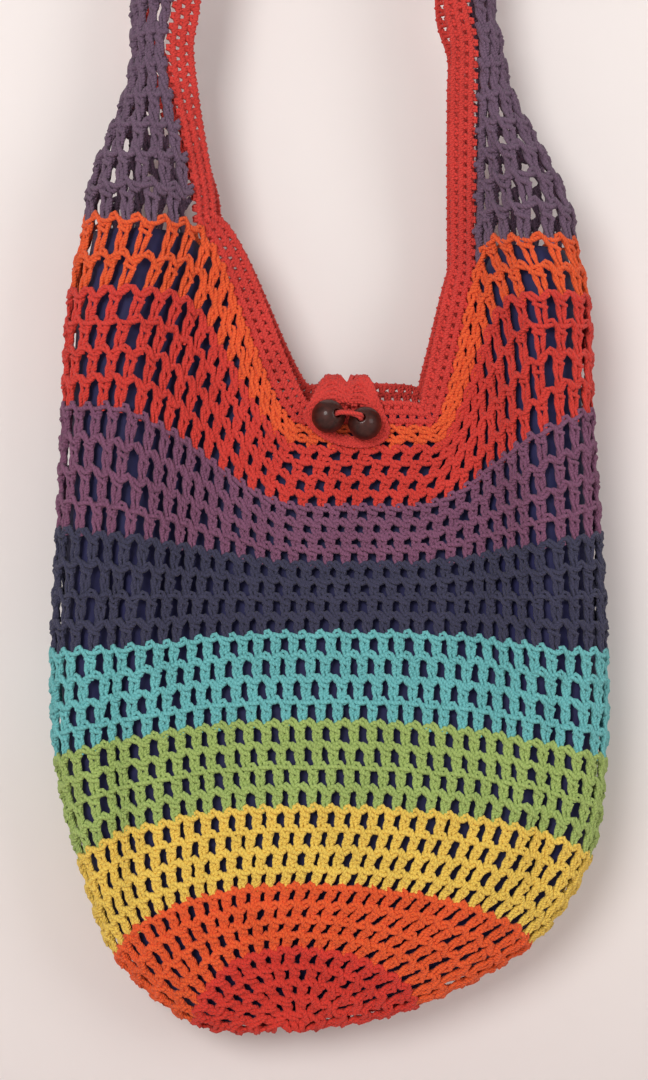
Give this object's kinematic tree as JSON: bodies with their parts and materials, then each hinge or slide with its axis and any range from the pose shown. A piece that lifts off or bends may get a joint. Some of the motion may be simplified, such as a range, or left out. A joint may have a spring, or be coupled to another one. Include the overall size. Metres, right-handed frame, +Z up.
{
  "type": "crochet shoulder bag",
  "caption": "Hanging crochet shoulder bag with colour bands, a round base, lining, one long folded strap, edged neckline and a loop closed over wooden beads.",
  "frame": {"origin": "underside of the strap core at the top of its arch, where the bag hangs", "axes": "+Z up along the hanging bag, +X to the viewer's right, -Y towards the front with the beads"},
  "size_m": [0.3964, 0.083, 0.9822],
  "materials": {
    "base_red": "crocheted plied cotton yarn",
    "band_orange": "crocheted plied cotton yarn",
    "band_yellow": "crocheted plied cotton yarn",
    "band_green": "crocheted plied cotton yarn",
    "band_turquoise": "crocheted plied cotton yarn",
    "band_navy": "crocheted plied cotton yarn",
    "band_purple": "crocheted plied cotton yarn",
    "band_red": "crocheted plied cotton yarn",
    "band_orange_top": "crocheted plied cotton yarn",
    "lining": "plain woven cloth",
    "shoulder_left": "crocheted plied cotton yarn",
    "shoulder_right": "crocheted plied cotton yarn",
    "front_edging": "crocheted plied cotton yarn",
    "back_edging": "crocheted plied cotton yarn",
    "button_loop": "crocheted plied cotton yarn",
    "bead_yarn": "crocheted plied cotton yarn",
    "bead_left": "dark stained, polished wood",
    "bead_right": "dark stained, polished wood"
  },
  "bodies": {
    "bag": {"base_red": "base_red", "band_orange": "band_orange", "band_yellow": "band_yellow", "band_green": "band_green", "band_turquoise": "band_turquoise", "band_navy": "band_navy", "band_purple": "band_purple", "band_red": "band_red", "band_orange_top": "band_orange_top", "lining": "lining", "shoulder_left": "shoulder_left", "shoulder_right": "shoulder_right", "front_edging": "front_edging", "back_edging": "back_edging", "button_loop": "button_loop", "bead_yarn": "bead_yarn"},
    "left_bead": {"bead_left": "bead_left"},
    "right_bead": {"bead_right": "bead_right"}
  },
  "joints": [
    {"name": "bead_left_spin", "type": "hinge", "parent": "bag", "child": "left_bead", "pos_m": [0.0045, -0.02421, -0.53962], "axis": [0.5882, -0.7952, 0.147], "continuous": true},
    {"name": "bead_right_spin", "type": "hinge", "parent": "bag", "child": "right_bead", "pos_m": [0.0303, -0.02418, -0.54462], "axis": [-0.2529, -0.9138, 0.3179], "continuous": true}
  ]
}
